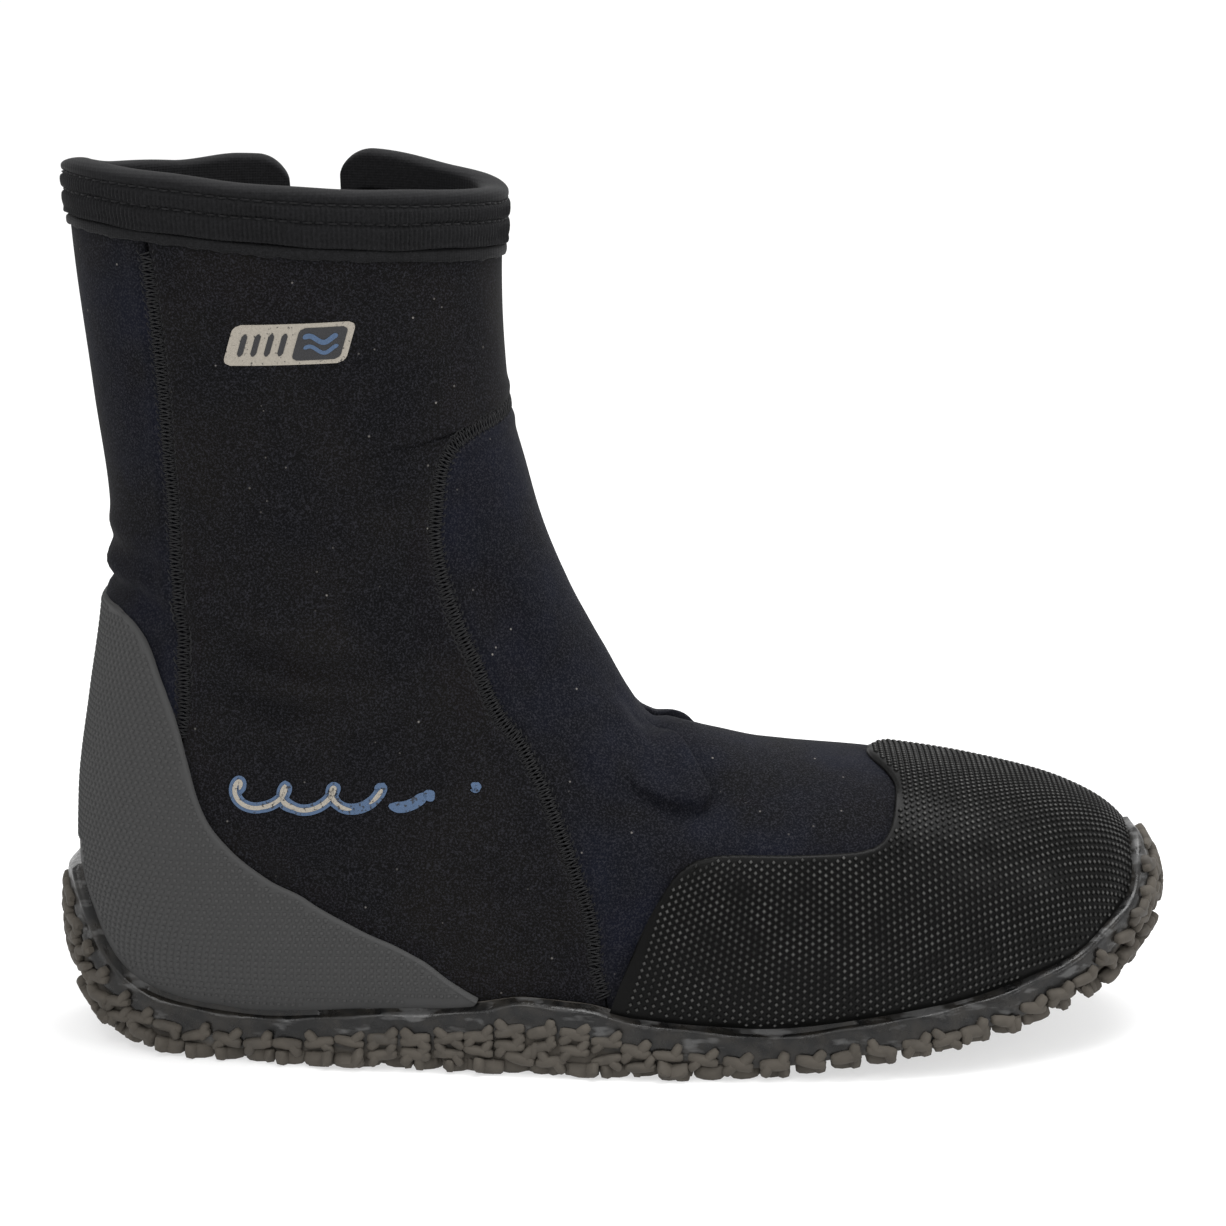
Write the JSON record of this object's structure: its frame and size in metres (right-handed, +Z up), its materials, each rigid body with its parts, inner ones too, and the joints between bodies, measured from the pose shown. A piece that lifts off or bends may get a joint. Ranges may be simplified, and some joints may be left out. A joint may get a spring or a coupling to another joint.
{
  "type": "neoprene boot",
  "caption": "Right neoprene dive boot with rubber toe and heel caps, a lugged rubber sole, a bound collar and a side zip with a sliding slider and a swinging pull.",
  "frame": {"origin": "centre of the boot's box on the floor that the tread stands on", "axes": "+X to the toe, +Y to the inner side of the foot, where the zip is, +Z up"},
  "size_m": [0.2935, 0.1023, 0.233],
  "materials": {
    "neoprene": "matt knitted nylon laminated on foam, near black with a navy tint and fine lint",
    "neoprene_bottom": "matt knitted nylon on foam",
    "footbed_foam": "brushed fabric on closed-cell foam",
    "cap_rubber": "satin rubber with a fine raised diamond pattern",
    "sole_rubber": "smooth dark rubber, glossy where cement has dried, dusty lower down",
    "tread_rubber": "dusty grey-brown moulded rubber",
    "binding_tape": "ribbed knitted elastic, near black",
    "welt_tape": "smooth knitted edge tape",
    "thread": "twisted polyester thread",
    "zip_tape": "woven polyester tape",
    "zip_plastic": "moulded acetal teeth, satin",
    "flap_fabric": "thin knitted foam flap",
    "slider_plastic": "moulded plastic, satin",
    "badge_print": "matt transfer print, pale sand outline with a dark field",
    "motif_print": "matt transfer print, slate blue outline with a pale sand fill, part worn off"
  },
  "bodies": {
    "boot": {"back_panel": "neoprene", "shaft_panel": "neoprene", "inner_rear_panel": "neoprene", "vamp": "neoprene", "bottom_panel": "neoprene_bottom", "footbed": "footbed_foam", "toe_cap": "cap_rubber", "heel_cap": "cap_rubber", "outsole": "sole_rubber", "tread": "tread_rubber", "collar_binding": "binding_tape", "collar_welt": "welt_tape", "binding_stitching": "thread", "outer_rear_seam": "thread", "inner_rear_seam": "thread", "vamp_seam": "thread", "zip_tape_front": "zip_tape", "zip_tape_rear": "zip_tape", "zip_teeth_front": "zip_plastic", "zip_teeth_rear": "zip_plastic", "zip_top_stops": "zip_plastic", "zip_bottom_stop": "zip_plastic", "zip_stitching": "thread", "zip_flap": "flap_fabric", "shaft_badge": "badge_print", "side_motif": "motif_print"},
    "slider": {"zip_slider": "slider_plastic"},
    "pull": {"zip_pull": "slider_plastic"}
  },
  "joints": [
    {"name": "zip_slide", "type": "slide", "parent": "boot", "child": "slider", "axis": [0.0857, -0.0088, -0.9963], "range_m": [0, 0.1195]},
    {"name": "pull_swing", "type": "hinge", "parent": "slider", "child": "pull", "pos_m": [-0.07778, 0.04092, 0.20064], "axis": [0.9963, 0, 0.0857], "range_deg": [0, 150]}
  ]
}
